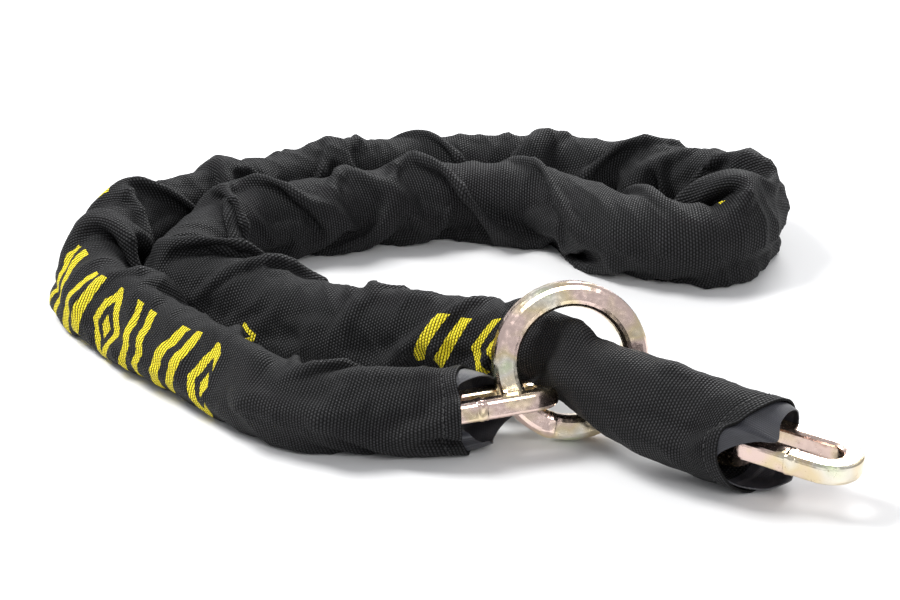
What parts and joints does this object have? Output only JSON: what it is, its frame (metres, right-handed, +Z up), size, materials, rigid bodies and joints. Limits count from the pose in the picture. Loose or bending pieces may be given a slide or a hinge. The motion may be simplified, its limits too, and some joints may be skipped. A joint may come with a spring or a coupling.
{
  "type": "chain lock",
  "caption": "Noose chain lock lying in its loop: a square-link chain in a gathered fabric sleeve, with a ring on one end link and a bare last link for a padlock.",
  "frame": {"origin": "centre of the bounding box at the surface that the lock lies on", "axes": "+Z up; +X towards the bare end link and the loop tip; +Y towards the back of the loop"},
  "size_m": [0.3329, 0.3539, 0.0619],
  "materials": {
    "chain": "yellow iridescent zinc plating, worn on the edges",
    "ring": "yellow iridescent zinc plating with a weld seam",
    "sleeve": "black coarse woven nylon, gathered in ribs",
    "liner": "dark grey slick liner cloth",
    "marking": "yellow thread woven into the sleeve"
  },
  "bodies": {
    "root": {"chain_link_02": "chain", "chain_link_03": "chain", "chain_link_04": "chain", "chain_link_05": "chain", "chain_link_06": "chain", "chain_link_07": "chain", "chain_link_08": "chain", "chain_link_09": "chain", "chain_link_10": "chain", "chain_link_26": "chain", "chain_link_27": "chain", "chain_link_28": "chain", "chain_link_29": "chain", "chain_link_30": "chain", "chain_link_31": "chain", "chain_link_32": "chain", "sleeve_ring_end": "sleeve", "sleeve_left_turn": "sleeve", "sleeve_inner_turn": "sleeve", "sleeve_front_run": "sleeve", "liner_ring_end": "liner"},
    "back_arm": {"chain_link_11": "chain", "chain_link_12": "chain", "sleeve_back_arm": "sleeve", "fold_back_arm": "sleeve"},
    "carrier": {"chain_link_13": "chain", "chain_link_23": "chain", "fold_back_carrier": "sleeve", "fold_middle_lift": "sleeve"},
    "middle_arm_outer": {"chain_link_24": "chain", "sleeve_middle_arm_a": "sleeve", "fold_middle_carrier": "sleeve"},
    "middle_arm_inner": {"chain_link_25": "chain", "sleeve_middle_arm_b": "sleeve", "fold_middle_arm": "sleeve"},
    "loop_end": {"chain_link_14": "chain", "chain_link_15": "chain", "chain_link_16": "chain", "chain_link_17": "chain", "chain_link_18": "chain", "chain_link_19": "chain", "chain_link_20": "chain", "chain_link_21": "chain", "chain_link_22": "chain", "sleeve_back_run": "sleeve", "sleeve_loop_tip": "sleeve", "sleeve_middle_run": "sleeve", "fold_back_lift": "sleeve"},
    "tail_base": {"chain_link_33": "chain"},
    "tail_tip": {"chain_link_34": "chain", "sleeve_tail_end": "sleeve", "liner_tail_end": "liner", "fold_tail": "sleeve"},
    "end_link_swing": {"end_link": "chain"},
    "ring_link_swivel": {"ring_link": "chain"},
    "ring_loop": {"ring": "ring"}
  },
  "joints": [
    {"name": "loop_sway", "type": "hinge", "parent": "root", "child": "back_arm", "pos_m": [-0.08971, 0.12219, 0.01718], "axis": [0, 0, 1], "range_deg": [-6, 10], "deforming": ["fold_back_arm"]},
    {"name": "loop_carry", "type": "hinge", "parent": "back_arm", "child": "carrier", "pos_m": [-0.0212, 0.15459, 0.01718], "axis": [0, 0, 1], "range_deg": [-10, 6], "deforming": ["fold_back_carrier"]},
    {"name": "middle_arm_sway", "type": "hinge", "parent": "root", "child": "middle_arm_inner", "pos_m": [-0.09143, 0.07179, 0.01718], "axis": [0, 0, 1], "range_deg": [-6, 10], "deforming": ["fold_middle_arm"]},
    {"name": "middle_arm_follow", "type": "hinge", "parent": "carrier", "child": "middle_arm_outer", "pos_m": [-0.02292, 0.1042, 0.01718], "axis": [0, 0, 1], "range_deg": [-6, 10], "deforming": ["fold_middle_carrier"]},
    {"name": "loop_lift", "type": "hinge", "parent": "carrier", "child": "loop_end", "pos_m": [0.01644, 0.15845, 0.01718], "axis": [-0.0489, -0.9988, 0], "range_deg": [0, 25], "deforming": ["fold_back_lift", "fold_middle_lift"]},
    {"name": "tail_lift", "type": "hinge", "parent": "root", "child": "tail_base", "pos_m": [0.05731, -0.10011, 0.02981], "axis": [-0.766, -0.6428, 0], "range_deg": [0, 20]},
    {"name": "tail_sway", "type": "hinge", "parent": "tail_base", "child": "tail_tip", "pos_m": [0.08345, -0.12749, 0.02806], "axis": [0.0592, -0.0592, 0.9965], "range_deg": [-15, 15], "deforming": ["fold_tail"]},
    {"name": "end_link_tilt", "type": "hinge", "parent": "tail_tip", "child": "end_link_swing", "pos_m": [0.11666, -0.14513, 0.02296], "axis": [-0.4695, -0.8829, 0], "range_deg": [-10, 18]},
    {"name": "ring_link_swing", "type": "hinge", "parent": "root", "child": "ring_link_swivel", "pos_m": [0.01111, -0.11681, 0.01763], "axis": [-0.0453, -0.013, 0.9989], "range_deg": [-2, 0.5]},
    {"name": "ring_turn", "type": "hinge", "parent": "ring_link_swivel", "child": "ring_loop", "pos_m": [0.0569, -0.1009, 0.031], "axis": [0.206, -0.9369, 0.2823], "continuous": true}
  ],
  "couplings": [
    {"joint": "loop_carry", "follows": "loop_sway", "ratio": -1},
    {"joint": "middle_arm_sway", "follows": "loop_sway", "ratio": 1},
    {"joint": "middle_arm_follow", "follows": "loop_sway", "ratio": 1}
  ]
}
